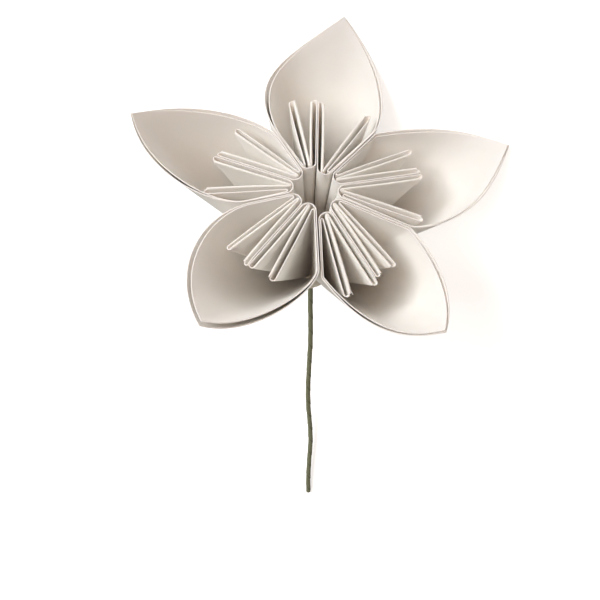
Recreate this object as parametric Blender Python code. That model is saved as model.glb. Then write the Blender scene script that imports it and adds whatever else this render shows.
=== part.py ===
"""A five-petal kusudama flower of white paper on a wrapped wire stem, lying as it comes to rest.

Each petal is one square sheet. All of its creases but one pair run through the middle of the square,
so the folded petal is a cone: straight lines from one point O, through a closed curve. A point of the
sheet at polar angle THETA about the middle keeps its distance from O and its place along that curve.
The curve is drawn in a flat section across the cone, square to the flower's axis, EDGE above O.
"""

import math

import bpy
import numpy as np
from mathutils import Matrix, Vector

# The sheet of paper, and how close its folded layers lie.
PAPER_SIDE = 0.100
PAPER_THICKNESS = 0.00022
LAYER_SPACING = 0.00048
FOLD_SPACING = 0.00036
GLUE_FILM = 0.00014

# The petals round the flower's axis, and the clearance between neighbours.
PETAL_CLEARANCE = 0.0003
NOSE_RADIUS = 0.00185

# The fins: two flaps meet in the middle one, and each flap has one at its own side.
FIN_ROOT = 0.0046
FIN_BOW = 0.00012
CREASE_RADIUS = 0.0005
VALLEY_RADIUS = 0.00036
VALLEY_INSET = 0.0006
HINGE_RADIUS = 0.00032
HINGE_INSET = 0.0

# The layers are at full thickness from here out. Nearer the point they are pressed thin.
FULL_LAYER_RADIUS = 0.043
POINT_CUT = 0.0034

# Hand-folded petals, one after another to the left round the flower. Degrees: the azimuth of the petal
# and of its joint with the next, the tip's opening and sideways lean, and the headings of the three fins
# from right to left. Metres: how full the wall is beside the tip, right and left, and how far out it is
# glued to the next petal's. Last, in degrees, how much longer than half a corner the folding hand left
# each wall, right and left.
PETALS = {
    "petal_top": (
        83.4, 120.6, 40.5, -1.4, (-30.4, 4.2, 21.6), (0.0113, 0.0200), 0.0100, (2.0, 5.0),
    ),
    "petal_left": (
        156.9, 191.2, 40.3, 0.5, (-22.8, 0.6, 27.4), (0.0119, 0.0092), 0.0096, (1.2, -0.9),
    ),
    "petal_lower_left": (
        229.4, 272.7, 37.0, 3.7, (-16.4, 1.7, 20.9), (0.0144, 0.0083), 0.0145, (3.1, -0.5),
    ),
    "petal_lower_right": (
        300.3, 338.0, 39.2, 4.2, (-19.2, 2.0, 16.8), (0.0133, 0.0107), 0.0172, (-2.4, -0.1),
    ),
    "petal_right": (
        371.2, 408.8, 39.2, 0.3, (-31.9, 1.5, 19.5), (0.0144, 0.0140), 0.0155, (1.9, 1.2),
    ),
}

# The stem, from its end in the glue: a straight neck, one bend, and a long, slightly wavy run.
STEM_DIAMETER = 0.0016
STEM_LENGTH = 0.090
NECK_LENGTH = 0.0035
BEND_RADIUS = 0.007
STEM_LEAN = 34.0
STEM_HEADING = 270.8
STEM_WAVE = 0.00055
STEM_WAVE_LENGTH = 0.048

# The bead of hot glue round the neck. It fills the ring of the five cut points and hangs a little below.
BEAD_DROP = 0.0034
GLUE_CLEARANCE = 0.0003

# How finely the curved stretches are cut.
WALL_STEPS = 9
NOSE_STEPS = 5
TURN_STEPS = 3
FACE_STEPS = 2
FOLD_STEPS = 2
BEAD_STEPS = 9
BEAD_SIDES = 16

EDGE = PAPER_SIDE / 2
WALL_ANGLE = math.radians(45)
FLAP_ANGLE = math.radians(22.5)


def sphere_lengths(points):
    """Angle passed at each point of a line in the flat section, as seen from O: the sheet's own measure."""
    rays = np.column_stack([points, np.full(len(points), EDGE)])
    rays /= np.linalg.norm(rays, axis=1)[:, None]
    chords = np.linalg.norm(np.diff(rays, axis=0), axis=1)
    return np.concatenate([[0.0], np.cumsum(2 * np.arcsin(chords / 2))])


def heading_vector(heading):
    return np.array([math.cos(heading), math.sin(heading)])


def left_of(heading):
    return np.array([-math.sin(heading), math.cos(heading)])


def tangent_heading(first, second):
    """Heading of the straight that leaves one turn and joins the next. A turn is (centre, radius, side)."""
    apart = second[0] - first[0]
    shift = second[1] * second[2] - first[1] * first[2]
    return math.atan2(apart[1], apart[0]) - math.asin(shift / np.linalg.norm(apart))


def turn_points(turn, arriving, leaving, steps):
    """Points round one turn, to the left for side 1 and to the right for side -1."""
    centre, radius, side = turn
    swept = (side * (leaving - arriving)) % (2 * math.pi)
    headings = arriving + side * swept * np.linspace(0, 1, steps + 1)
    return np.array([centre - side * radius * left_of(heading) for heading in headings])


def solve(measure, low, high):
    """Value between low and high at which a rising measure passes zero."""
    for _ in range(50):
        middle = (low + high) / 2
        if measure(middle) < 0:
            low = middle
        else:
            high = middle
    return (low + high) / 2


def bezier(corners, steps):
    t = np.linspace(0, 1, steps + 1)[:, None]
    a, b, c, d = corners
    return a * (1 - t) ** 3 + 3 * b * t * (1 - t) ** 2 + 3 * c * t * t * (1 - t) + d * t**3


def evenly(points, steps):
    """The same line, cut into stretches that the sheet measures as equal."""
    along = sphere_lengths(points)
    at = np.linspace(0, along[-1], steps + 1)
    return np.column_stack([np.interp(at, along, points[:, k]) for k in range(2)])


def bowed(start, end, steps):
    """A flap's face from start to end, bowed a little to its right."""
    t = np.linspace(0, 1, steps + 1)[:, None]
    right = -left_of(math.atan2(end[1] - start[1], end[0] - start[0]))
    return start + (end - start) * t + FIN_BOW * right * np.sin(math.pi * t)


def moved_left(points, distance):
    """The same line moved to the left of its heading."""
    ahead = np.gradient(points, axis=0)
    left = np.column_stack([-ahead[:, 1], ahead[:, 0]])
    return points + distance * left / np.linalg.norm(left, axis=1)[:, None]


def crease_place(valley, root, heading):
    """Centre of a fin's outer crease, on the line from its root, as far out as its face lets it reach."""
    length = FLAP_ANGLE - math.pi / 2 * (CREASE_RADIUS + VALLEY_RADIUS) / EDGE

    def short_by(distance):
        return sphere_lengths(np.array([valley, root + heading * distance]))[-1] - length

    return root + heading * solve(short_by, 0.0, EDGE)


def half_section(half_sector, tip, fin_middle, fin_side, glued, fullness, ease):
    """One half of a petal's section, from the outer layer's tip to the inner layer's.

    The outer wall runs in along the neighbour, turns back at the nose, and goes out and in twice as the
    two fins. The inner wall then follows the outer one back to the tip. Returns the points, their paper
    angles, and the first and last number of those that the folded-down corner lines.
    """
    layer = PAPER_THICKNESS / 2 * EDGE / FULL_LAYER_RADIUS
    fin_offset = layer + GLUE_FILM / 2
    out, inward = heading_vector(half_sector), -left_of(half_sector)
    fin, beside = heading_vector(fin_middle), left_of(fin_middle)

    # The nose touches the neighbour's plane and the petal's own middle plane.
    nose = np.linalg.solve(np.array([inward, beside]), NOSE_RADIUS + np.array([layer, fin_offset]))
    valley_side = fin_offset + 2 * CREASE_RADIUS + VALLEY_RADIUS
    valley = fin * (fin @ nose - NOSE_RADIUS + VALLEY_INSET + VALLEY_RADIUS) + beside * valley_side
    crease = crease_place(valley, beside * (fin_offset + CREASE_RADIUS), fin)
    side_crease = crease_place(valley, np.array([FIN_ROOT, 0.0]), heading_vector(fin_side))
    hinge_inset = layer + LAYER_SPACING + HINGE_RADIUS
    hinge = out * (out @ nose + HINGE_INSET) + inward * hinge_inset
    glue_end = out * (out @ nose + glued) + inward * layer
    turns = [
        (glue_end, 0.0, 1),
        (nose, NOSE_RADIUS, 1),
        (crease, CREASE_RADIUS, 1),
        (valley, VALLEY_RADIUS, -1),
        (side_crease, CREASE_RADIUS, 1),
        (hinge, HINGE_RADIUS, -1),
        (glue_end + inward * LAYER_SPACING, 0.0, 1),
    ]
    headings = [tangent_heading(a, b) for a, b in zip(turns, turns[1:])]
    steps = [NOSE_STEPS] + [TURN_STEPS] * 4
    bends = [turn_points(turns[k + 1], headings[k], headings[k + 1], steps[k]) for k in range(5)]

    # The outer wall's fullness takes up what the sheet has left between the tip and the first crease.
    to_crease = sphere_lengths(np.vstack([glue_end, bends[0], bends[1][: TURN_STEPS // 2 + 1]]))[-1]
    room = WALL_ANGLE + ease + FLAP_ANGLE - to_crease
    tip_side = left_of(math.atan2(tip[1], tip[0]))

    def wall(handle):
        return bezier((tip, tip + tip_side * fullness, glue_end + out * handle, glue_end), 60)

    outer = evenly(wall(solve(lambda h: sphere_lengths(wall(h))[-1] - room, 0.0, EDGE)), WALL_STEPS)
    inner = moved_left(outer, LAYER_SPACING)[::-1]
    faces = [bowed(bends[k][-1], bends[k + 1][0], FACE_STEPS) for k in (1, 2, 3)]
    stretches = [outer, bends[0], bends[1], faces[0][1:-1], bends[2], faces[1][1:-1]]
    lined = sum(map(len, stretches[:3])) - 1, sum(map(len, stretches))
    stretches += [bends[3], faces[2][1:-1], bends[4], inner]
    points = np.vstack(stretches)
    angles = sphere_lengths(points)
    nose_at = angles[WALL_STEPS + NOSE_STEPS // 2]
    angles = np.where(angles < nose_at, angles * (nose_at - ease) / nose_at, angles - ease)
    hinge_at = WALL_ANGLE + 4 * FLAP_ANGLE
    # Inside its neighbour, the inner wall is a little short or long, and its tip takes that up.
    share = (math.pi - hinge_at) / (angles[-1] - hinge_at)
    angles = np.where(angles > hinge_at, hinge_at + (angles - hinge_at) * share, angles)
    return points, angles, lined


def petal_section(sectors, tip, fins, glued, fullness, ease):
    """The whole closed section, its paper angles from the outer tip, and which points the corners line."""
    halves = []
    for side in (1, -1):
        flip = np.array([1, side])
        headings = side * fins[1], side * fins[1 + side]
        wall = glued[side], fullness[side], ease[side]
        half = half_section(sectors[side], tip * flip, *headings, *wall)
        halves.append((half[0] * flip, *half[1:]))
    (near, near_angles, near_lined), (far, far_angles, far_lined) = halves
    # The far half is walked the other way, so that the sheet keeps the same face to the outside.
    points = np.vstack([near, far[-2:0:-1]])
    angles = np.concatenate([near_angles, 2 * math.pi - far_angles[-2:0:-1]])
    last = len(points)
    return points, angles, [near_lined, (last - far_lined[1], last - far_lined[0])]


def paper_reach(angle):
    """Distance from the middle of the sheet to its edge. At the two fins the corner is folded in."""
    from_edge_middle = (angle + math.radians(22.5)) % math.radians(90) - math.radians(22.5)
    if angle % math.pi <= FLAP_ANGLE * 3 or angle % math.pi >= FLAP_ANGLE * 5:
        from_edge_middle = (angle % math.radians(90)) - math.radians(45)
    return EDGE / math.cos(from_edge_middle)


def corner_reach(angle):
    """Distance from the middle of the sheet at which the corner, folded down, has its cut edge."""
    from_fold = abs((angle % math.pi) - math.radians(90))
    tip = PAPER_SIDE - PAPER_SIDE / math.sqrt(2)
    return tip / (math.cos(from_fold) - math.sin(from_fold))


def petal_sheet(points, angles, lined):
    """Middle surface of a folded sheet: places, facing directions, thicknesses and quads."""
    rays = np.column_stack([points, np.full(len(points), EDGE)])
    rays /= np.linalg.norm(rays, axis=1)[:, None]
    along = np.roll(rays, -1, axis=0) - rays
    along /= np.linalg.norm(along, axis=1)[:, None]
    along = along + np.roll(along, 1, axis=0)
    facing = np.cross(along, rays)
    facing /= np.linalg.norm(facing, axis=1)[:, None]
    along = np.cross(rays, facing)

    places, normals, thicknesses, quads = [], [], [], []

    def add(place, normal, radius):
        places.append(place)
        normals.append(normal)
        thicknesses.append(PAPER_THICKNESS * min(1.0, radius / FULL_LAYER_RADIUS))
        return len(places) - 1

    columns = []
    for ray, face, angle in zip(rays, facing, angles):
        radii = (POINT_CUT, FULL_LAYER_RADIUS, paper_reach(angle))
        columns.append([add(ray * radius, face, radius) for radius in radii])
    for first, last in lined:
        for k in range(first, last + 1):
            angle, ray, face = angles[k], rays[k], facing[k]
            turned = (angle % math.pi) - math.radians(90)
            outward = math.cos(turned) * ray - math.sin(turned) * along[k]
            rim = ray * paper_reach(angle)
            for step in range(1, FOLD_STEPS + 1):
                bend = math.pi * step / FOLD_STEPS
                shift = outward * math.sin(bend) + face * (1 - math.cos(bend))
                normal = face * math.cos(bend) - outward * math.sin(bend)
                columns[k].append(add(rim + shift * FOLD_SPACING / 2, normal, EDGE))
            radius = corner_reach(angle)
            place = ray * radius + face * FOLD_SPACING * radius / EDGE
            columns[k].append(add(place, -face, radius))
    for here, after in zip(columns, columns[1:] + columns[:1]):
        for row in range(min(len(here), len(after)) - 1):
            quads.append((here[row], after[row], after[row + 1], here[row + 1]))
    return np.array(places), np.array(normals), np.array(thicknesses), np.array(quads)


def thickened(places, normals, thicknesses, quads):
    """A closed solid round a middle surface: both faces, and a strip along every free edge."""
    shift = normals * thicknesses[:, None] / 2
    count = len(places)
    sides = {(a, b) for quad in quads.tolist() for a, b in zip(quad, quad[1:] + quad[:1])}
    rims = [(b, a, a + count, b + count) for a, b in sorted(sides) if (b, a) not in sides]
    faces = quads.tolist() + (quads[:, ::-1] + count).tolist() + rims
    return np.vstack([places + shift, places - shift]), faces


def tilted_tip(opening, lean):
    """A tip's place in the flat section, from its angle off the axis and its sideways lean."""
    opening, lean = math.radians(opening), math.radians(lean)
    return EDGE * np.array([math.tan(opening), math.tan(lean) / math.cos(opening)])


def petal_mesh(name):
    names = list(PETALS)
    azimuth, joint, opening, lean, fins, fullness, glued_after, eases = PETALS[name]
    before = PETALS[names[names.index(name) - 1]]
    sectors = {
        1: math.radians((joint - azimuth) % 360),
        -1: math.radians((azimuth - before[1]) % 360),
    }
    glued = {1: glued_after, -1: before[6]}
    full = {1: fullness[1], -1: fullness[0]}
    ease = {1: math.radians(eases[1]), -1: math.radians(eases[0])}
    fins = [math.radians(fin) for fin in fins]
    section = petal_section(sectors, tilted_tip(opening, lean), fins, glued, full, ease)
    points, faces = thickened(*petal_sheet(*section))
    # Moved off the axis, each wall clears the neighbour's by the same amount from point to rim.
    points[:, 0] += PETAL_CLEARANCE / 2 / math.sin(min(sectors.values()))
    return points, faces


def stem_line():
    """Middle line of the stem in the flower's frame: neck, bend, and the run that sways by hand."""
    lean = math.radians(STEM_LEAN)
    side = Vector((math.cos(math.radians(STEM_HEADING)), math.sin(math.radians(STEM_HEADING)), 0))
    across = Vector((0, 0, 1)).cross(side)
    down = Vector((0, 0, -1))
    start = Vector((0, 0, -GLUE_CLEARANCE))
    line = [start, start + down * NECK_LENGTH]
    for step in range(1, 7):
        turned = lean * step / 6
        sweep = side * (1 - math.cos(turned)) + down * math.sin(turned)
        line.append(line[1] + sweep * BEND_RADIUS)
    run = down * math.cos(lean) + side * math.sin(lean)
    run_length = STEM_LENGTH - NECK_LENGTH - BEND_RADIUS * lean
    bend_end = line[-1].copy()
    for step in range(1, 19):
        along = run_length * step / 18
        faded = min(1.0, along / STEM_WAVE_LENGTH, (run_length - along) / STEM_WAVE_LENGTH * 2)
        sway = STEM_WAVE * faded * math.sin(2 * math.pi * along / STEM_WAVE_LENGTH)
        line.append(bend_end + run * along + across * sway)
    return line


def stem_curve(name):
    """The wire as a round bevel along its middle line."""
    curve = bpy.data.curves.new(name, "CURVE")
    curve.dimensions = "3D"
    curve.bevel_depth = STEM_DIAMETER / 2
    curve.bevel_resolution = 3
    curve.use_fill_caps = True
    spline = curve.splines.new("POLY")
    line = stem_line()
    spline.points.add(len(line) - 1)
    for point, place in zip(spline.points, line):
        point.co = (*place, 1.0)
    return curve


def bead_profile():
    """Half outline of the glue, from the middle of its top, round, and up the hole that the wire fills."""
    hole = STEM_DIAMETER / 2 + GLUE_CLEARANCE
    radius = POINT_CUT - GLUE_CLEARANCE
    lowest = math.pi - math.asin(hole / radius) - math.radians(6)
    outline = []
    for turned in np.linspace(0, lowest, BEAD_STEPS):
        height = radius if turned < math.pi / 2 else BEAD_DROP
        outline.append((radius * math.sin(turned), height * math.cos(turned)))
    return outline + [(hole, outline[-1][1]), (hole, 0.0), (0.0, 0.0)]


def revolved(profile, steps):
    """A closed solid turned about Z from an outline that starts and ends on the axis."""
    ring = np.linspace(0, 2 * math.pi, steps, endpoint=False)
    rows = profile[1:-1]
    points = [(r * math.cos(a), r * math.sin(a), z) for r, z in rows for a in ring]
    points += [(0, 0, profile[0][1]), (0, 0, profile[-1][1])]
    top, bottom = len(points) - 2, len(points) - 1
    faces = []
    for k in range(steps):
        after = (k + 1) % steps
        faces.append((top, k, after))
        for row in range(len(rows) - 1):
            low, high = row * steps, (row + 1) * steps
            faces.append((low + k, high + k, high + after, low + after))
        faces.append((bottom, (len(rows) - 1) * steps + after, (len(rows) - 1) * steps + k))
    return points, faces


def material(name, colour, roughness):
    made = bpy.data.materials.new(name)
    made.use_nodes = True
    shader = made.node_tree.nodes["Principled BSDF"]
    shader.inputs["Base Color"].default_value = (*colour, 1.0)
    shader.inputs["Roughness"].default_value = roughness
    shader.inputs["Metallic"].default_value = 0.0
    made.diffuse_color = (*colour, 1.0)
    return made


def mesh_object(name, points, faces, parent, turned=0.0):
    mesh = bpy.data.meshes.new(name)
    mesh.from_pydata([tuple(point) for point in points], [], [tuple(face) for face in faces])
    mesh.validate()
    return placed(bpy.data.objects.new(name, mesh), parent, turned)


def placed(made, parent, turned=0.0):
    bpy.context.scene.collection.objects.link(made)
    made.parent = parent
    made.rotation_euler = (0.0, 0.0, turned)
    return made


def resting_matrix(feet, everything):
    """Matrix that lays the flower on three feet, with the middle of its box over the world's origin.

    Feet holds one group of points for each foot. The lowest point of each group carries, so the plane is
    laid through a first guess and then through the lowest points until these no longer change.
    """
    middle = np.mean(everything, axis=0)
    chosen = [group[np.argmax(np.linalg.norm(group, axis=1))] for group in feet]
    for _ in range(20):
        up = np.cross(chosen[1] - chosen[0], chosen[2] - chosen[0])
        up /= np.linalg.norm(up)
        if up @ (middle - chosen[0]) < 0:
            up = -up
        chosen = [group[np.argmin(group @ up)] for group in feet]
    # Seen from above, the flower opens towards -Y.
    ahead = np.array([0.0, 0.0, -1.0])
    ahead = ahead - (ahead @ up) * up
    ahead /= np.linalg.norm(ahead)
    turn = np.array([np.cross(ahead, up), ahead, up])
    turned = everything @ turn.T
    low, high = turned.min(axis=0), turned.max(axis=0)
    shift = (-(low[0] + high[0]) / 2, -(low[1] + high[1]) / 2, -low[2])
    return Matrix.Translation(shift) @ Matrix(turn.tolist()).to_4x4()


def build():
    paper = material("folded_white_paper", (0.83, 0.80, 0.74), 0.85)
    tape = material("olive_paper_tape", (0.10, 0.11, 0.06), 0.75)
    glue = material("clear_hot_glue", (0.62, 0.58, 0.47), 0.30)
    flower = bpy.data.objects.new("flower_frame", None)
    bpy.context.scene.collection.objects.link(flower)

    clouds = {}
    for name in PETALS:
        points, faces = petal_mesh(name)
        azimuth = math.radians(PETALS[name][0])
        petal = mesh_object(name, points, faces, flower, azimuth)
        petal.data.materials.append(paper)
        turn = np.array(Matrix.Rotation(azimuth, 3, "Z"))
        clouds[name] = points @ turn.T
    stem = placed(bpy.data.objects.new("stem_wire", stem_curve("stem_wire")), flower)
    stem.data.materials.append(tape)
    line = stem_line()
    end_across = Vector((line[-1] - line[-2])).to_track_quat("Z", "Y").to_matrix()
    rim = [
        line[-1] + end_across @ Vector((math.cos(a), math.sin(a), 0)) * STEM_DIAMETER / 2
        for a in np.linspace(0, 2 * math.pi, 16, endpoint=False)
    ]
    clouds["stem_wire"] = np.array([tuple(point) for point in rim])
    bead = mesh_object("glue_bead", *revolved(bead_profile(), BEAD_SIDES), flower)
    bead.data.materials.append(glue)

    feet = [clouds["petal_right"], clouds["petal_top"], clouds["stem_wire"]]
    flower.matrix_world = resting_matrix(feet, np.vstack(list(clouds.values())))


for leftover in list(bpy.data.objects):
    bpy.data.objects.remove(leftover)
build()
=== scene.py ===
"""The looks of a white paper kusudama flower on a tape-wrapped wire stem."""

import math

import bpy
import numpy as np
from mathutils import Matrix


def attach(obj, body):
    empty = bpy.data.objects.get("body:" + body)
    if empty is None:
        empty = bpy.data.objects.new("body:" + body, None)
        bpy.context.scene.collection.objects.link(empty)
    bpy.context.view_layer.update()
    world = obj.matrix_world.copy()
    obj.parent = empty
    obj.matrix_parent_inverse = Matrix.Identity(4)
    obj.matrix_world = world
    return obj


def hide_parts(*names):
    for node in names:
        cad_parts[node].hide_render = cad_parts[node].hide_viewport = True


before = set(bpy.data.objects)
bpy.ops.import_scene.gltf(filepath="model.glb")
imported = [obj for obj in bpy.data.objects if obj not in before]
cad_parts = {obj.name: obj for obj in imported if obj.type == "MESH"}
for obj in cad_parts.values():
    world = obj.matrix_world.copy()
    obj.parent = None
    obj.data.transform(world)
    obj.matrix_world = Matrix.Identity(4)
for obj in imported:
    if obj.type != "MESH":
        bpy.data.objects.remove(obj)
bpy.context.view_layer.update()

# --- The five petals ---
# Each petal is one square of heavy white drawing paper, folded by hand. Its creases run through the
# middle of the square, so it closes into a cone of two layers with three doubled fins inside. Glue
# joins the fins' middle faces and each wall to the neighbour's.

MM = 0.001
SHEET_SIDE = 100 * MM
SHEET_THICKNESS = 0.22 * MM
LAYER_SPACING = 0.38 * MM
FOLD_SPACING = 0.36 * MM
GLUE_FILM = 0.14 * MM
PETAL_CLEARANCE = 0.3 * MM
NOSE_RADIUS = 1.85 * MM
CREASE_RADIUS = 0.54 * MM
SIDE_CREASE_RADIUS = 0.60 * MM
ROOT_WIDTH = 0.9 * MM
VALLEY_RADIUS = 0.36 * MM
VALLEY_INSET = 0.6 * MM
HINGE_RADIUS = 0.32 * MM
FIN_ROOT = 4.6 * MM
FIN_BOW = 0.12 * MM
FULL_LAYER_RADIUS = 43 * MM
POINT_CUT = 3.4 * MM
SECTION_HEIGHT = SHEET_SIDE / 2
HAND_SWAY = 0.5 * MM
SWAY_FADE_HEIGHT = 9 * MM
TABLE_GAP = 0.011 * MM
# Width and strength of the painted shade laid along the creases.
CREASE_SHADE_WIDTH = 0.45 * MM
CREASE_SHADE_TONE = 0.6
TIP_REACH = 2 * MM
WALL_ANGLE = math.radians(45)
FLAP_ANGLE = math.radians(22.5)

# Degrees: the azimuth of the petal's middle and of its joint with the next petal, then the tip's opening
# and lean, and the headings of the three fins from right to left. Metres: how full the wall is beside the
# tip, right and left, and how far out it is glued to the next petal's. Last, in degrees, how much longer
# than half a corner the folding hand left each wall, right and left.
HAND_FOLDING = {
    "petal_top": (83.4, 120.6, 40.5, -1.4, (-30.4, 5.6, 24.0), (0.0113, 0.0240), 0.0100, (2.0, 7.5)),
    "petal_left": (156.9, 191.2, 40.3, 0.5, (-22.8, 0.6, 27.4), (0.0119, 0.0092), 0.0096, (1.2, -0.9)),
    "petal_lower_left": (229.4, 272.7, 37.0, 3.7, (-16.4, 1.7, 20.9), (0.0144, 0.0083), 0.0145, (3.1, -0.5)),
    "petal_lower_right": (300.3, 338.0, 39.2, 4.2, (-18.2, 2.0, 16.8), (0.0133, 0.0107), 0.0172, (-2.4, -0.1)),
    "petal_right": (371.2, 408.8, 39.2, 0.3, (-31.9, 1.5, 19.5), (0.0144, 0.0140), 0.0155, (1.9, 1.2)),
}

# The turn of the paper at the tip in degrees, and how far the outer layer stands off at the tip and
# half-way down the right and the left wall.
LOOSE_LAYERS = {
    "petal_top": (-8.0, 0.0, 0.3 * MM, 1.0 * MM),
    "petal_left": (0.0, 0.2 * MM, 0.3 * MM, 0.2 * MM),
    "petal_lower_left": (0.0, 0.9 * MM, 0.7 * MM, 0.2 * MM),
    "petal_lower_right": (0.0, 0.2 * MM, 0.2 * MM, 0.4 * MM),
    "petal_right": (0.0, 0.0, 0.05 * MM, 0.05 * MM),
}

WALL_STEPS = 44
NOSE_STEPS = 16
BEND_STEPS = 10
FACE_STEPS = 10
FOLD_STEPS = 8
RULING_STEPS = 18
CORNER_STEPS = 5


def unit(vectors):
    """Each row divided by its own length."""
    return vectors / np.linalg.norm(vectors, axis=-1, keepdims=True)


def rays_through(section):
    """Unit directions from the petal's point through a line in the flat section."""
    return unit(np.column_stack([section, np.full(len(section), SECTION_HEIGHT)]))


def paper_angles(section):
    """Angle that the sheet has passed at each point: the sum of 2 asin(half the chord) between rays."""
    chords = np.linalg.norm(np.diff(rays_through(section), axis=0), axis=1)
    return np.concatenate([[0.0], np.cumsum(2 * np.arcsin(chords / 2))])


def heading_vector(heading):
    """Cosine and sine of the heading."""
    return np.array([math.cos(heading), math.sin(heading)])


def left_of(heading):
    """The heading's vector turned a quarter to the left: minus its sine, and its cosine."""
    return np.array([-math.sin(heading), math.cos(heading)])


def tangent_heading(first, second):
    """Heading of the straight between two bends (centre, radius, side), tangent to both circles."""
    apart = second[0] - first[0]
    shift = second[1] * second[2] - first[1] * first[2]
    return math.atan2(apart[1], apart[0]) - math.asin(shift / np.linalg.norm(apart))


def bend_points(bend, arriving, leaving, steps):
    """Centre minus radius times the left of the heading, as the heading turns to the bend's side."""
    centre, radius, side = bend
    swept = (side * (leaving - arriving)) % (2 * math.pi)
    turned = arriving + side * swept * np.linspace(0, 1, steps + 1)
    return centre - side * radius * np.column_stack([-np.sin(turned), np.cos(turned)])


def halved(measure, low, high):
    """Place between low and high where a rising measure passes zero, by halving the span."""
    for _ in range(46):
        middle = (low + high) / 2
        low, high = (middle, high) if measure(middle) < 0 else (low, middle)
    return (low + high) / 2


def bezier(corners, steps):
    """Cubic curve: the four corners weighted by (1-t)^3, 3t(1-t)^2, 3t^2(1-t) and t^3."""
    t = np.linspace(0, 1, steps + 1)[:, None]
    weights = (1 - t) ** 3, 3 * t * (1 - t) ** 2, 3 * t**2 * (1 - t), t**3
    return sum(weight * corner for weight, corner in zip(weights, corners))


def evenly(line, steps):
    """The same line at equal steps of paper angle."""
    along = paper_angles(line)
    at = np.linspace(0, along[-1], steps + 1)
    return np.column_stack([np.interp(at, along, line[:, k]) for k in range(2)])


def fin_face(start, end):
    """Straight from start to end, plus a bow to the right of FIN_BOW times sin(pi t)."""
    t = np.linspace(0, 1, FACE_STEPS + 1)[:, None]
    right = -left_of(math.atan2(end[1] - start[1], end[0] - start[0]))
    return (start + (end - start) * t + FIN_BOW * right * np.sin(math.pi * t))[1:-1]


def crease_place(valley, root, heading):
    """Centre of a fin's outer crease: as far from its root as one flap's angle reaches from the valley."""
    length = FLAP_ANGLE - math.pi / 2 * (CREASE_RADIUS + VALLEY_RADIUS) / SECTION_HEIGHT

    def short_by(distance):
        return paper_angles(np.array([valley, root + heading * distance]))[-1] - length

    return root + heading * halved(short_by, 0.0, SECTION_HEIGHT)


def half_section(half_sector, tip, fin_middle, fin_side, glued, fullness, ease, skew, apart):
    """Outer wall, nose, middle fin, valley, side fin, hinge and inner wall of one half, in that order.

    Straights are common tangents of the bends' circles. The wall is a cubic curve from the tip to the
    glued stretch, and its handle is as long as makes the paper angle to the first crease come right. The
    outer layer stands off by apart[0] cos^2(pi t / 2) + apart[1] sin^2(pi t), for t from the tip.
    """
    layer = SHEET_THICKNESS / 2 * SECTION_HEIGHT / FULL_LAYER_RADIUS
    fin_offset = layer + GLUE_FILM / 2
    out, inward = heading_vector(half_sector), -left_of(half_sector)
    fin, beside = heading_vector(fin_middle), left_of(fin_middle)
    nose = np.linalg.solve(np.array([inward, beside]), NOSE_RADIUS + np.array([layer, fin_offset]))
    valley_side = fin_offset + ROOT_WIDTH + VALLEY_RADIUS
    valley = fin * (fin @ nose - NOSE_RADIUS + VALLEY_INSET + VALLEY_RADIUS) + beside * valley_side
    crease = crease_place(valley, beside * (fin_offset + CREASE_RADIUS), fin)
    side_crease = crease_place(valley, np.array([FIN_ROOT, 0.0]), heading_vector(fin_side))
    hinge = out * (out @ nose) + inward * (layer + LAYER_SPACING + HINGE_RADIUS)
    glue_end = out * (out @ nose + glued) + inward * layer
    bends = [
        (glue_end, 0.0, 1),
        (nose, NOSE_RADIUS, 1),
        (crease, CREASE_RADIUS, 1),
        (valley, VALLEY_RADIUS, -1),
        (side_crease, SIDE_CREASE_RADIUS, 1),
        (hinge, HINGE_RADIUS, -1),
        (glue_end + inward * LAYER_SPACING, 0.0, 1),
    ]
    headings = [tangent_heading(a, b) for a, b in zip(bends, bends[1:])]
    steps = [NOSE_STEPS] + [BEND_STEPS] * 4
    turned = [bend_points(bends[k + 1], headings[k], headings[k + 1], steps[k]) for k in range(5)]

    half_crease = turned[1][: BEND_STEPS // 2 + 1]
    room = WALL_ANGLE + ease + FLAP_ANGLE - paper_angles(np.vstack([glue_end, turned[0], half_crease]))[-1]
    tip_side = left_of(math.atan2(tip[1], tip[0]) + skew)

    def wall(handle):
        return bezier((tip, tip + tip_side * fullness, glue_end + out * handle, glue_end), 90)

    handle = halved(lambda h: paper_angles(wall(h))[-1] - room, 0.0, SECTION_HEIGHT)
    outer = evenly(wall(handle), WALL_STEPS)
    ahead = unit(np.gradient(outer, axis=0))
    ahead[0] = tip_side
    aside = np.column_stack([-ahead[:, 1], ahead[:, 0]])
    inner = (outer + LAYER_SPACING * aside)[::-1]
    from_tip = np.linspace(0, math.pi, WALL_STEPS + 1)[:, None]
    standing_off = apart[0] * np.cos(from_tip / 2) ** 2 + apart[1] * np.sin(from_tip) ** 2
    outer = outer - standing_off * aside
    glued_run = np.linspace(outer[-1], turned[0][0], 8)[1:-1]
    glued_back = np.linspace(turned[4][-1], inner[0], 8)[1:-1]
    faces = [fin_face(turned[k][-1], turned[k + 1][0]) for k in (1, 2, 3)]
    straight_fin = np.linspace(turned[0][-1], turned[1][0], FACE_STEPS)[1:-1]

    runs = [outer, glued_run, turned[0], straight_fin, turned[1], faces[0], turned[2], faces[1]]
    lined = sum(map(len, runs[:5])) - 1, sum(map(len, runs))
    runs += [turned[3], faces[2], turned[4], glued_back, inner]
    section = np.vstack(runs)
    angles = paper_angles(section)
    nose_at = angles[len(outer) + len(glued_run) + NOSE_STEPS // 2]
    angles = np.where(angles < nose_at, angles * (nose_at - ease) / nose_at, angles - ease)
    hinge_at = WALL_ANGLE + 4 * FLAP_ANGLE
    share = (math.pi - hinge_at) / (angles[-1] - hinge_at)
    angles = np.where(angles > hinge_at, hinge_at + (angles - hinge_at) * share, angles)
    return section, angles, lined


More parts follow.
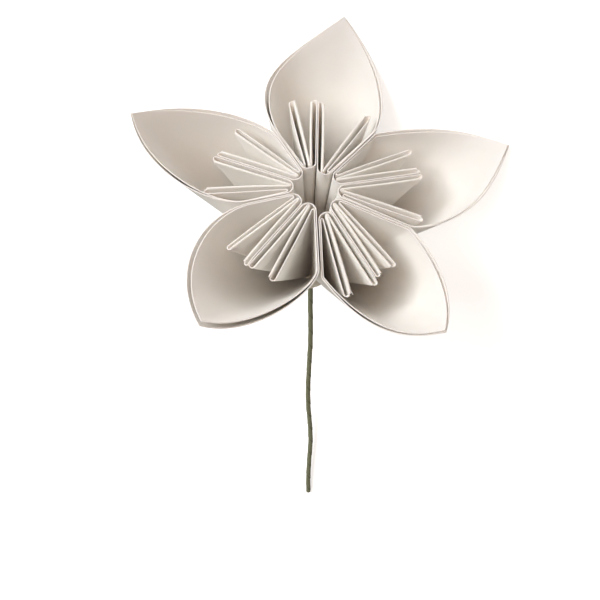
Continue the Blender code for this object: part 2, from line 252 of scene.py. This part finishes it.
def petal_section(name):
    """Both halves joined into one closed line, with paper angles from 0 to 360 degrees."""
    names = list(HAND_FOLDING)
    azimuth, joint, opening, lean, fins, fullness, glued_after, eases = HAND_FOLDING[name]
    skew, at_tip, apart_right, apart_left = LOOSE_LAYERS[name]
    skew = math.radians(skew)
    before = HAND_FOLDING[names[names.index(name) - 1]]
    opening, lean = math.radians(opening), math.radians(lean)
    tip = SECTION_HEIGHT * np.array([math.tan(opening), math.tan(lean) / math.cos(opening)])
    left_sector = math.radians(joint - azimuth)
    right_sector = math.radians((azimuth - before[1]) % 360)
    middle, left, right = (math.radians(fins[k]) for k in (1, 2, 0))
    ease_right, ease_left = np.radians(eases)
    # The far half is worked out mirrored, so its headings and its skew change sign.
    near_fold = left_sector, tip, middle, left, glued_after, fullness[1], ease_left, skew
    far_fold = right_sector, tip * [1, -1], -middle, -right, before[6], fullness[0], ease_right, -skew
    near = half_section(*near_fold, (at_tip, apart_left))
    far = half_section(*far_fold, (at_tip, apart_right))
    section = np.vstack([near[0], (far[0] * [1, -1])[-2:0:-1]])
    angles = np.concatenate([near[1], 2 * math.pi - far[1][-2:0:-1]])
    last = len(section)
    lined = [near[2], (last - far[2][1], last - far[2][0])]
    clearance = PETAL_CLEARANCE / 2 / math.sin(min(left_sector, right_sector))
    return section, angles, lined, clearance


def sheet_reach(angles):
    """Half the side over the cosine of the angle from the nearest edge's middle, or from the fold."""
    in_kite = np.abs((angles % math.pi) - math.pi / 2) < FLAP_ANGLE
    from_middle = np.where(in_kite, (angles % math.pi) - math.pi / 2, (angles % (math.pi / 2)) - math.pi / 4)
    return SHEET_SIDE / 2 / np.cos(from_middle)


def corner_reach(angles):
    """Folded-down corner's cut edge: 0.293 sides over (cos - sin) of the angle from the fold."""
    from_fold = np.abs((angles % math.pi) - math.pi / 2)
    return (SHEET_SIDE - SHEET_SIDE / math.sqrt(2)) / (np.cos(from_fold) - np.sin(from_fold))


def hand_sway(places):
    """A slow wave through space, HAND_SWAY high at the rims: crossed sines, growing as distance squared.

    It dies away towards the table, so that the two lowest tips stay where they rest. What would still dip
    below the table is lifted to TABLE_GAP above it, and this lift fades out over SWAY_FADE_HEIGHT.
    """
    x, y, z = (places / MM).T
    wave = np.column_stack([
        np.sin(y / 17.0 + 0.6) * np.cos(z / 23.0 + 1.1),
        np.sin(x / 19.0 + 2.0) * np.cos(z / 21.0 + 0.3),
        np.sin(x / 24.0 + 0.9) * np.sin(y / 22.0 + 1.7),
    ])
    grown = (np.linalg.norm(places - FLOWER_PLACE, axis=1) / SHEET_SIDE * math.sqrt(2)) ** 2
    height = z * MM / SWAY_FADE_HEIGHT
    swayed = places + HAND_SWAY * wave * (grown * np.clip(height, 0, 1))[:, None]
    dips = max(0.0, TABLE_GAP - swayed[:, 2].min())
    swayed[:, 2] += dips * np.clip(1 - height, 0, 1)
    return swayed


def folded_sheet(section, angles, lined):
    """Middle surface of the sheet: radius times ray on a grid of angles and radii, then the folded corners.

    Past the fold line a corner turns half a circle of FOLD_SPACING across, and runs back inside the
    valley between two fins to its cut edge. Each vertex also gets its place on the flat square.
    """
    rays = rays_through(section)
    ahead = unit(np.roll(rays, -1, axis=0) - rays)
    facing = unit(np.cross(ahead + np.roll(ahead, 1, axis=0), rays))
    along = np.cross(rays, facing)
    reach = sheet_reach(angles)
    columns, rows = len(rays), RULING_STEPS + 1
    radii = POINT_CUT + (reach - POINT_CUT)[:, None] * np.linspace(0, 1, rows)
    places = [(rays[:, None] * radii[..., None]).reshape(-1, 3)]
    normals = [np.repeat(facing, rows, axis=0)]
    depths = [radii.ravel()]
    round_square = np.column_stack([np.cos(angles), np.sin(angles)])
    on_sheet = [(radii[..., None] * round_square[:, None]).reshape(-1, 2)]
    grid = np.arange(columns * rows).reshape(columns, rows)
    after = np.roll(grid, -1, axis=0)
    quads = [np.stack([grid[:, :-1], after[:, :-1], after[:, 1:], grid[:, 1:]], -1).reshape(-1, 4)]
    count = columns * rows

    for first, last in lined:
        k = slice(first, last + 1)
        ray, face, angle = rays[k], facing[k], angles[k]
        turned = (angle % math.pi) - math.pi / 2
        outward = np.cos(turned)[:, None] * ray - np.sin(turned)[:, None] * along[k]
        bend = (math.pi * np.arange(1, FOLD_STEPS + 1) / FOLD_STEPS)[None, :, None]
        rim = (ray * reach[k][:, None])[:, None]
        shift = outward[:, None] * np.sin(bend) + face[:, None] * (1 - np.cos(bend))
        fold = rim + shift * FOLD_SPACING / 2
        fold_normals = face[:, None] * np.cos(bend) - outward[:, None] * np.sin(bend)
        run = np.linspace(0, 1, CORNER_STEPS + 1)[None, 1:]
        inner = reach[k][:, None] + (corner_reach(angle) - reach[k])[:, None] * run
        apart = FOLD_SPACING * inner / SECTION_HEIGHT
        lining = ray[:, None] * inner[..., None] + face[:, None] * apart[..., None]
        deep = FOLD_STEPS + CORNER_STEPS
        wide = last + 1 - first
        places.append(np.concatenate([fold, lining], axis=1).reshape(-1, 3))
        backs = np.broadcast_to(-face[:, None], (wide, CORNER_STEPS, 3))
        normals.append(np.concatenate([fold_normals, backs], axis=1).reshape(-1, 3))
        depth = np.concatenate([np.broadcast_to(reach[k][:, None], (wide, FOLD_STEPS)), inner], axis=1)
        depths.append(depth.ravel())
        # On the flat square the corner lies past the fold line, as far out as it now lies inside.
        side = np.where(angle % (2 * math.pi) < math.pi, 1.0, -1.0)[:, None]
        outer_y = side * (SHEET_SIDE - depth * np.cos(turned)[:, None])
        outer_x = -side * depth * np.sin(turned)[:, None]
        on_sheet.append(np.stack([outer_x, outer_y], -1).reshape(-1, 2))
        strip = np.concatenate(
            [grid[k, -1:], count + np.arange(wide * deep).reshape(wide, deep)], axis=1
        )
        quads.append(
            np.stack([strip[:-1, :-1], strip[1:, :-1], strip[1:, 1:], strip[:-1, 1:]], -1).reshape(-1, 4)
        )
        count += wide * deep
    return [np.concatenate(part) for part in (places, normals, depths, on_sheet, quads)]


def with_thickness(places, normals, thickness, quads):
    """Both faces at half the thickness along the normal, and one quad along every free edge."""
    shift = normals * thickness[:, None] / 2
    count = len(places)
    sides = np.stack([quads, np.roll(quads, -1, axis=1)], -1).reshape(-1, 2)
    keys = np.sort(sides, axis=1)
    _, place, times = np.unique(keys[:, 0] * count + keys[:, 1], return_inverse=True, return_counts=True)
    a, b = sides[times[place.ravel()] == 1].T
    rims = np.stack([b, a, a + count, b + count], -1)
    return np.vstack([places + shift, places - shift]), np.vstack([quads, quads[:, ::-1] + count, rims]), rims


def rigid_fit(own, laid):
    """Turn and shift that lay one set of points on another, from the singular values of their product."""
    own_middle, laid_middle = own.mean(axis=0), laid.mean(axis=0)
    left, _, right = np.linalg.svd((own - own_middle).T @ (laid - laid_middle))
    turn = (left @ np.diag([1, 1, np.sign(np.linalg.det(left @ right))]) @ right).T
    return turn, laid_middle - turn @ own_middle


def node_points(name):
    """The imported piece's vertices, one row each."""
    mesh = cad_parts[name].data
    points = np.empty(len(mesh.vertices) * 3)
    mesh.vertices.foreach_get("co", points)
    return points.reshape(-1, 3)


def about_axis(azimuth):
    """Turn about the flower's axis, in degrees: the azimuth's cosine and sine in the first two rows."""
    c, s = heading_vector(math.radians(azimuth))
    return np.array([[c, -s, 0], [s, c, 0], [0, 0, 1]])


# The frame shows where the flower lies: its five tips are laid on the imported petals' farthest points.
sections = {name: petal_section(name) for name in HAND_FOLDING}
bead_middle = node_points("glue_bead").mean(axis=0)
own_tips, laid_tips = [], []
for name, (section, angles, lined, clearance) in sections.items():
    inner_tip = np.argmin(np.abs(angles - math.pi))
    both_layers = rays_through(section[[0, inner_tip]])
    tip = both_layers.mean(axis=0) * SHEET_SIDE / math.sqrt(2) + [clearance, 0, 0]
    own_tips.append(about_axis(HAND_FOLDING[name][0]) @ tip)
    points = node_points(name)
    distance = np.linalg.norm(points - bead_middle, axis=1)
    near_tip = np.linalg.norm(points - points[distance.argmax()], axis=1) < TIP_REACH
    laid_tips.append(np.unique(points[near_tip].round(7), axis=0).mean(axis=0))
FLOWER_TURN, FLOWER_PLACE = rigid_fit(np.array(own_tips), np.array(laid_tips))


def laid(points):
    """Points of the flower's own frame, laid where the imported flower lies."""
    return points @ FLOWER_TURN.T + FLOWER_PLACE


def colour(hex_value):
    """sRGB hex to linear: c/12.92 below 0.04045, else ((c + 0.055)/1.055)^2.4."""
    channels = [int(hex_value[k : k + 2], 16) / 255 for k in (1, 3, 5)]
    return (*[c / 12.92 if c <= 0.04045 else ((c + 0.055) / 1.055) ** 2.4 for c in channels], 1.0)


def add(tree, kind, settings=None, **links):
    """One node with its settings and its inputs: a socket is linked, and any other value is set."""
    node = tree.nodes.new(kind)
    for key, value in (settings or {}).items():
        setattr(node, key, value)
    for name, value in links.items():
        socket = node.inputs[int(name[1:])] if name[1:].isdigit() else node.inputs[name.replace("_", " ")]
        if isinstance(value, bpy.types.NodeSocket):
            tree.links.new(value, socket)
        else:
            socket.default_value = value
    return node


def new_material(name):
    """A material with its node tree and its one shader."""
    material = bpy.data.materials.new(name)
    material.use_nodes = True
    tree = material.node_tree
    shader = tree.nodes["Principled BSDF"]
    return material, tree, shader


def new_piece(name, points, faces, material):
    """A mesh in world coordinates from whole arrays, shaded smooth."""
    mesh = bpy.data.meshes.new(name)
    mesh.from_pydata(points.tolist(), [], faces)
    mesh.shade_smooth()
    mesh.materials.append(material)
    piece = bpy.data.objects.new(name, mesh)
    bpy.context.scene.collection.objects.link(piece)
    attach(piece, "root")
    return piece


# Uncoated drawing paper, pressed from pulp and cut by knife: a matt, faintly warm white with soft
# clouds of fibre. Along its creases a darker pinkish tone is painted shade, and its cut edges are painted a
# little lighter as a painted highlight.
drawing_paper, tree, shader = new_material("uncoated_drawing_paper")
on_square = add(tree, "ShaderNodeUVMap", {"uv_map": "flat_square"}).outputs["UV"]
clouds = add(tree, "ShaderNodeTexNoise", None, Vector=on_square, Scale=9.0, Detail=4.0, Roughness=0.6)
# Fibres are 0.02 mm wide. Drawn at 0.6 mm, because finer ones wouldn't show.
fibres = add(tree, "ShaderNodeTexNoise", None, Vector=on_square, Scale=170.0, Detail=3.0, Roughness=0.7)
# The crease attribute carries painted shade along the fold lines.
crease_shade = add(tree, "ShaderNodeAttribute", {"attribute_name": "crease"}).outputs["Fac"]
# Painted highlight: the sheet's cut edges are drawn a little lighter than the paper.
rim_highlight = add(tree, "ShaderNodeAttribute", {"attribute_name": "rim_highlight"}).outputs["Fac"]
TWO_COLOURS = {"data_type": "RGBA"}
cloudy = clouds.outputs["Fac"]
sheet = add(tree, "ShaderNodeMix", TWO_COLOURS, _0=cloudy, _6=colour("#f5f3ed"), _7=colour("#faf8f3"))
rim_highlighted = add(tree, "ShaderNodeMix", TWO_COLOURS, _0=rim_highlight, _6=sheet.outputs[2], _7=colour("#fbf8f4"))
# Painted shade: a darker pinkish tone along the creases.
crease_shaded = add(tree, "ShaderNodeMix", TWO_COLOURS, _0=crease_shade, _6=rim_highlighted.outputs[2], _7=colour("#e6ddd6"))
tree.links.new(crease_shaded.outputs[2], shader.inputs["Base Color"])
shader.inputs["Roughness"].default_value = 0.82
shader.inputs["Specular IOR Level"].default_value = 0.3
shader.inputs["Subsurface Weight"].default_value = 0.25
shader.inputs["Subsurface Radius"].default_value = (1.0, 0.85, 0.7)
shader.inputs["Subsurface Scale"].default_value = 0.5 * MM
fibre_bump = add(
    tree, "ShaderNodeBump", None, Strength=0.10, Distance=0.12 * MM, Height=fibres.outputs["Fac"]
)
tree.links.new(fibre_bump.outputs["Normal"], shader.inputs["Normal"])

for name, (section, angles, lined, clearance) in sections.items():
    places, normals, depths, on_sheet, quads = folded_sheet(section, angles, lined)
    places = places + [clearance, 0, 0]
    turn = about_axis(HAND_FOLDING[name][0])
    places, normals = places @ turn.T, normals @ turn.T
    thickness = SHEET_THICKNESS * np.minimum(1.0, depths / FULL_LAYER_RADIUS)
    points, faces, rims = with_thickness(places, normals, thickness, quads)
    petal = new_piece("folded_" + name, hand_sway(laid(points)), faces.tolist(), drawing_paper)
    mesh = petal.data
    # Each crease passes through the middle of the square, at a multiple of 22.5 degrees from a side.
    polar = np.arctan2(on_sheet[:, 1], on_sheet[:, 0]) % math.pi
    radius = np.linalg.norm(on_sheet, axis=1)
    crease_at = np.radians([67.5, 90.0, 112.5])
    # Painted shade along the creases, strongest on each crease line and fading off to the sides.
    off = np.abs(polar[:, None] - crease_at).min(axis=1) * radius
    crease = CREASE_SHADE_TONE * np.exp(-((off / CREASE_SHADE_WIDTH) ** 2))
    # The rim points carry the painted highlight of the cut edges.
    rim_points = np.zeros(len(points), bool)
    rim_points[rims.ravel()] = True
    for attribute, values in (("crease", np.tile(crease, 2)), ("rim_highlight", rim_points * 1.0)):
        mesh.attributes.new(attribute, "FLOAT", "POINT").data.foreach_set("value", values.astype(np.float32))
    corners = np.empty(len(mesh.loops), np.int32)
    mesh.loops.foreach_get("vertex_index", corners)
    flat = np.tile(on_sheet, (2, 1))[corners] / SHEET_SIDE + 0.5
    mesh.uv_layers.new(name="flat_square").data.foreach_set("uv", flat.ravel().astype(np.float32))
    edges = np.empty(len(mesh.edges) * 2, np.int32)
    mesh.edges.foreach_get("vertices", edges)
    edges = np.sort(edges.reshape(-1, 2), axis=1)
    wall_sides = np.sort(np.vstack([rims[:, :2], rims[:, 2:]]), axis=1)
    numbering = np.array([len(points), 1], np.int64)
    sharp = np.isin(edges @ numbering, wall_sides @ numbering)
    mesh.attributes.new("sharp_edge", "BOOLEAN", "EDGE").data.foreach_set("value", sharp)
    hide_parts(name)

# --- The stem ---
# Florist's wire, wound at a slant with olive crepe-paper tape. Each turn of the tape laps over the last
# one, and the wire was cut with pliers.

STEM_RADIUS = 0.8 * MM
STEM_LENGTH = 90 * MM
STEM_START = -0.3 * MM
NECK_LENGTH = 3.5 * MM
BEND_RADIUS = 7 * MM
STEM_LEAN = math.radians(34.0)
STEM_HEADING = math.radians(270.8)
STEM_WAVE = 0.55 * MM
STEM_WAVE_LENGTH = 48 * MM
TAPE_PITCH = 5.5 * MM
TAPE_LAP = 0.09 * MM
AROUND_STEM = 40


def stem_line(spacing):
    """Middle line: straight neck, an arc of STEM_LEAN, and a run that sways as a sine faded at both ends."""
    side = np.array([math.cos(STEM_HEADING), math.sin(STEM_HEADING), 0])
    across, down = np.cross([0, 0, 1], side), np.array([0, 0, -1.0])
    neck_end = np.array([0, 0, STEM_START - NECK_LENGTH])
    neck = np.linspace([0, 0, STEM_START], neck_end, 6)
    turned = np.linspace(0, STEM_LEAN, 15)[1:, None]
    bend = neck_end + BEND_RADIUS * (side * (1 - np.cos(turned)) + down * np.sin(turned))
    run = down * math.cos(STEM_LEAN) + side * math.sin(STEM_LEAN)
    length = STEM_LENGTH - NECK_LENGTH - BEND_RADIUS * STEM_LEAN
    along = np.linspace(0, length, int(length / spacing))[1:, None]
    faded = np.minimum(1.0, np.minimum(along, 2 * (length - along)) / STEM_WAVE_LENGTH)
    sway = STEM_WAVE * faded * np.sin(2 * math.pi * along / STEM_WAVE_LENGTH)
    return np.vstack([neck, bend, bend[-1] + run * along + across * sway])


def along_line(line, radii, around):
    """Closed tube: each point of the line plus its radius times (cos a, sin a) in the cross plane."""
    ahead = unit(np.gradient(line, axis=0))
    reference = unit(np.cross(ahead, [1.0, 0.0, 0.0]))
    other = np.cross(ahead, reference)
    turned = np.linspace(0, 2 * math.pi, around, endpoint=False)
    rings = line[:, None] + radii[..., None] * (
        np.cos(turned)[None, :, None] * reference[:, None] + np.sin(turned)[None, :, None] * other[:, None]
    )
    points = np.vstack([rings.reshape(-1, 3), line[[0, -1]]])
    grid = np.arange(len(line) * around).reshape(len(line), around)
    after = np.roll(grid, -1, axis=1)
    walls = np.stack([grid[:-1], after[:-1], after[1:], grid[1:]], -1).reshape(-1, 4)
    start, end = len(points) - 2, len(points) - 1
    caps = [(start, int(b), int(a)) for a, b in zip(grid[0], after[0])]
    caps += [(end, int(a), int(b)) for a, b in zip(grid[-1], after[-1])]
    return points, walls.tolist() + caps


crepe_tape, tree, shader = new_material("olive_crepe_paper_tape")
on_tape = add(tree, "ShaderNodeUVMap", {"uv_map": "along_tape"}).outputs["UV"]
dye = add(tree, "ShaderNodeTexNoise", None, Vector=on_tape, Scale=3.0, Detail=4.0, Roughness=0.65)
dyed = dye.outputs["Fac"]
tape = add(tree, "ShaderNodeMix", TWO_COLOURS, _0=dyed, _6=colour("#565943"), _7=colour("#848868"))
# Painted shade: a darker olive band in the step at the edge of each turn of tape.
lap_shade = add(tree, "ShaderNodeAttribute", {"attribute_name": "lap_shade"}).outputs["Fac"]
lap_shaded = add(tree, "ShaderNodeMix", TWO_COLOURS, _0=lap_shade, _6=tape.outputs[2], _7=colour("#42452f"))
tree.links.new(lap_shaded.outputs[2], shader.inputs["Base Color"])
shader.inputs["Roughness"].default_value = 0.7
# Crepe wrinkles are 0.3 mm apart and run across the tape.
along = {"bands_direction": "Y"}
crepe = add(tree, "ShaderNodeTexWave", along, Vector=on_tape, Scale=1.2, Distortion=3.0, Detail=2.0)
crepe_bump = add(tree, "ShaderNodeBump", None, Strength=0.5, Distance=0.06 * MM, Height=crepe.outputs["Fac"])
tree.links.new(crepe_bump.outputs["Normal"], shader.inputs["Normal"])

line = stem_line(0.35 * MM)
distance = np.concatenate([[0], np.cumsum(np.linalg.norm(np.diff(line, axis=0), axis=1))])[:, None]
turned = np.linspace(0, 2 * math.pi, AROUND_STEM, endpoint=False)[None]
# Across each turn the tape rises from the wire to its lap, then drops by one thickness.
across_tape = (distance / TAPE_PITCH + turned / (2 * math.pi)) % 1.0
lumps = np.sin(distance / (2.1 * MM) + 2 * np.sin(turned)) * np.sin(distance / (7 * MM))
radii = STEM_RADIUS - TAPE_LAP + TAPE_LAP * across_tape**2 + 0.03 * MM * lumps
points, faces = along_line(line, radii, AROUND_STEM)
stem = new_piece("taped_stem", laid(points), faces, crepe_tape)
# Painted shade, darkest at each lap's edge and in the step just past it.
shade_near_lap = np.exp(-(((1 - across_tape) / 0.07) ** 2)) + 0.6 * np.exp(-((across_tape / 0.04) ** 2))
lap_shade_values = np.concatenate([shade_near_lap.ravel(), [0.0, 0.0]]).astype(np.float32)
stem.data.attributes.new("lap_shade", "FLOAT", "POINT").data.foreach_set("value", lap_shade_values)
corners = np.empty(len(stem.data.loops), np.int32)
stem.data.loops.foreach_get("vertex_index", corners)
round_and_along = np.stack(np.broadcast_arrays(turned * STEM_RADIUS / MM, distance / MM), -1).reshape(-1, 2)
tape_places = np.vstack([round_and_along, [[0, 0], [0, distance[-1, 0] / MM]]])[corners]
stem.data.uv_layers.new(name="along_tape").data.foreach_set("uv", tape_places.ravel().astype(np.float32))
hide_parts("stem_wire")

# --- The glue bead ---
# A drop of hot glue, squeezed from a gun into the five points round the top of the wire. It set
# milky and slightly sagged, with a smooth glossy skin.

BEAD_RADIUS = 3.6 * MM
BEAD_TOP = 0.9 * BEAD_RADIUS
BEAD_DROP = 4.6 * MM

set_glue, tree, shader = new_material("set_hot_glue")
from_piece = add(tree, "ShaderNodeTexCoord").outputs["Object"]
milk = add(tree, "ShaderNodeTexNoise", None, Vector=from_piece, Scale=420.0, Detail=2.0)
milky = milk.outputs["Fac"]
hardened = add(tree, "ShaderNodeMix", TWO_COLOURS, _0=milky, _6=colour("#cfc9b4"), _7=colour("#e6e1d0"))
tree.links.new(hardened.outputs[2], shader.inputs["Base Color"])
shader.inputs["Roughness"].default_value = 0.28
shader.inputs["IOR"].default_value = 1.48
shader.inputs["Subsurface Weight"].default_value = 0.35
shader.inputs["Subsurface Radius"].default_value = (1.0, 0.9, 0.7)
shader.inputs["Subsurface Scale"].default_value = 1.2 * MM


def glue_drop(around, down):
    """Radius times sin t and height times cos t, drawn to a longer, thinner end below, rippled by 4%."""
    t = np.linspace(0, math.pi, down + 1)[1:-1, None]
    turned = np.linspace(0, 2 * math.pi, around, endpoint=False)[None]
    below = np.maximum(0.0, -np.cos(t))
    ripple = 1 + 0.04 * np.sin(5 * turned + 0.7 + 2 * t) * np.sin(t) ** 2 + 0.03 * np.sin(2 * turned + 1.9)
    wide = BEAD_RADIUS * np.sin(t) ** (1 + 0.7 * below) * ripple
    high = np.cos(t) * np.where(np.cos(t) > 0, BEAD_TOP, BEAD_DROP) + 0 * turned
    points = np.stack([wide * np.cos(turned), wide * np.sin(turned), high], -1).reshape(-1, 3)
    points = np.vstack([points, [[0, 0, BEAD_TOP], [0, 0, -BEAD_DROP]]])
    grid = np.arange(len(points) - 2).reshape(-1, around)
    after = np.roll(grid, -1, axis=1)
    walls = np.stack([grid[:-1], grid[1:], after[1:], after[:-1]], -1).reshape(-1, 4).tolist()
    top, bottom = len(points) - 2, len(points) - 1
    caps = [(top, int(a), int(b)) for a, b in zip(grid[0], after[0])]
    caps += [(bottom, int(b), int(a)) for a, b in zip(grid[-1], after[-1])]
    return points, walls + caps


points, faces = glue_drop(48, 30)
glue = new_piece("set_glue_drop", laid(points), faces, set_glue)
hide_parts("glue_bead")

# --- The table, the light and the camera ---
# A plain pale table top under soft window light from the upper left. Weaker lamps stand for the pale
# wall beside it, the warm room in front and the light that comes back from low behind the flower.

FIT_PITCH = math.radians(-21.7)
FIT_ROLL = math.radians(0.68)
FOCAL_PIXELS = 889.8
CAMERA_DISTANCE = 0.250
POINT_PIXEL = (311.0, 275.5)
PICTURE_WIDTH = 600
SENSOR_WIDTH = 36.0
TABLE_HALF_WIDTH = 3.0
LAMP_DISTANCE = 0.9

pale_table, tree, shader = new_material("pale_table_top")
shader.inputs["Base Color"].default_value = colour("#f2f0ee")
shader.inputs["Roughness"].default_value = 0.9
shader.inputs["Specular IOR Level"].default_value = 0.1
glow = add(tree, "ShaderNodeEmission", None, Color=(1, 1, 1, 1), Strength=0.62)
seen = add(tree, "ShaderNodeLightPath").outputs["Is Camera Ray"]
nothing = add(tree, "ShaderNodeEmission", None, Color=(0, 0, 0, 1), Strength=0.0)
shown = add(tree, "ShaderNodeMixShader", None, _0=seen, _1=nothing.outputs[0], _2=glow.outputs[0])
lit = add(tree, "ShaderNodeAddShader", None, _0=shader.outputs[0], _1=shown.outputs[0])
tree.links.new(lit.outputs[0], tree.nodes["Material Output"].inputs["Surface"])
half = TABLE_HALF_WIDTH
table_mesh = bpy.data.meshes.new("table_top")
corners = [(-half, -half, 0), (half, -half, 0), (half, half, 0), (-half, half, 0)]
table_mesh.from_pydata(corners, [], [(0, 1, 2, 3)])
table_mesh.materials.append(pale_table)
table = bpy.data.objects.new("table_top", table_mesh)
bpy.context.scene.collection.objects.link(table)

world = bpy.data.worlds.new("even_room_light")
world.use_nodes = True
bpy.context.scene.world = world
tree = world.node_tree
room = tree.nodes["Background"]
room.inputs["Color"].default_value = colour("#f6eae0")
room.inputs["Strength"].default_value = 0.08
white = add(tree, "ShaderNodeBackground", None, Color=(1, 1, 1, 1), Strength=1.0)
rays = add(tree, "ShaderNodeLightPath").outputs
larger = {"operation": "MAXIMUM"}
seen = add(tree, "ShaderNodeMath", larger, _0=rays["Is Camera Ray"], _1=rays["Is Glossy Ray"])
either = add(tree, "ShaderNodeMixShader", None, _0=seen.outputs[0], _1=room.outputs[0], _2=white.outputs[0])
tree.links.new(either.outputs[0], tree.nodes["World Output"].inputs["Surface"])


def turn_about(axis, angle):
    """Rotation about X (0) or Y (1) as a 3 by 3 matrix."""
    c, s = math.cos(angle), math.sin(angle)
    return np.array([[1, 0, 0], [0, c, -s], [0, s, c]] if axis == 0 else [[c, 0, s], [0, 1, 0], [-s, 0, c]])


# The camera's axes are the rows of this turn, and the flower's point lies at this place in its view.
view = turn_about(0, FIT_PITCH) @ turn_about(1, FIT_ROLL)
middle = PICTURE_WIDTH / 2
in_pixels = np.array([POINT_PIXEL[0] - middle, middle - POINT_PIXEL[1], -FOCAL_PIXELS])
in_view = in_pixels * CAMERA_DISTANCE / FOCAL_PIXELS
camera_axes = FLOWER_TURN @ view.T
camera_place = laid(-in_view @ view)
flower_middle = laid(np.array([[0, 0, 45 * MM]]))[0]


def posed(made, place, axes):
    """Puts an object at a place, with the three columns as its axes."""
    matrix = np.eye(4)
    matrix[:3, :3], matrix[:3, 3] = axes, place
    made.matrix_world = Matrix(matrix)
    bpy.context.scene.collection.objects.link(made)
    return made


def lamp(name, toward, size, power, tint):
    """A square lamp at LAMP_DISTANCE along a direction in the camera's axes, facing the flower."""
    away = unit(camera_axes @ np.array(toward))
    side = unit(np.cross(camera_axes[:, 1], away))
    light = bpy.data.lights.new(name, "AREA")
    light.shape = "SQUARE"
    light.size = size
    light.energy = power
    light.color = colour(tint)[:3]
    axes = np.column_stack([side, np.cross(away, side), away])
    return posed(bpy.data.objects.new(name, light), flower_middle + away * LAMP_DISTANCE, axes)


lamp("window_lamp", (-0.709, 0.41, 0.574), 0.45, 4.9, "#fcfdff")
lamp("pale_wall_lamp", (-0.574, 0.0, 0.819), 0.45, 2.5, "#fffefb")
lamp("warm_room_lamp", (0.0, 0.0, 1.0), 0.35, 1.6, "#ffdcc4")
lamp("low_back_lamp", (-0.5, -0.8, -0.15), 0.5, 1.8, "#fff8f0")

camera_data = bpy.data.cameras.new("camera")
camera_data.sensor_width = SENSOR_WIDTH
camera_data.lens = SENSOR_WIDTH * FOCAL_PIXELS / PICTURE_WIDTH
camera_data.clip_start = 0.01
camera = posed(bpy.data.objects.new("camera", camera_data), camera_place, camera_axes)
bpy.context.scene.camera = camera
bpy.context.scene.view_settings.view_transform = "Standard"
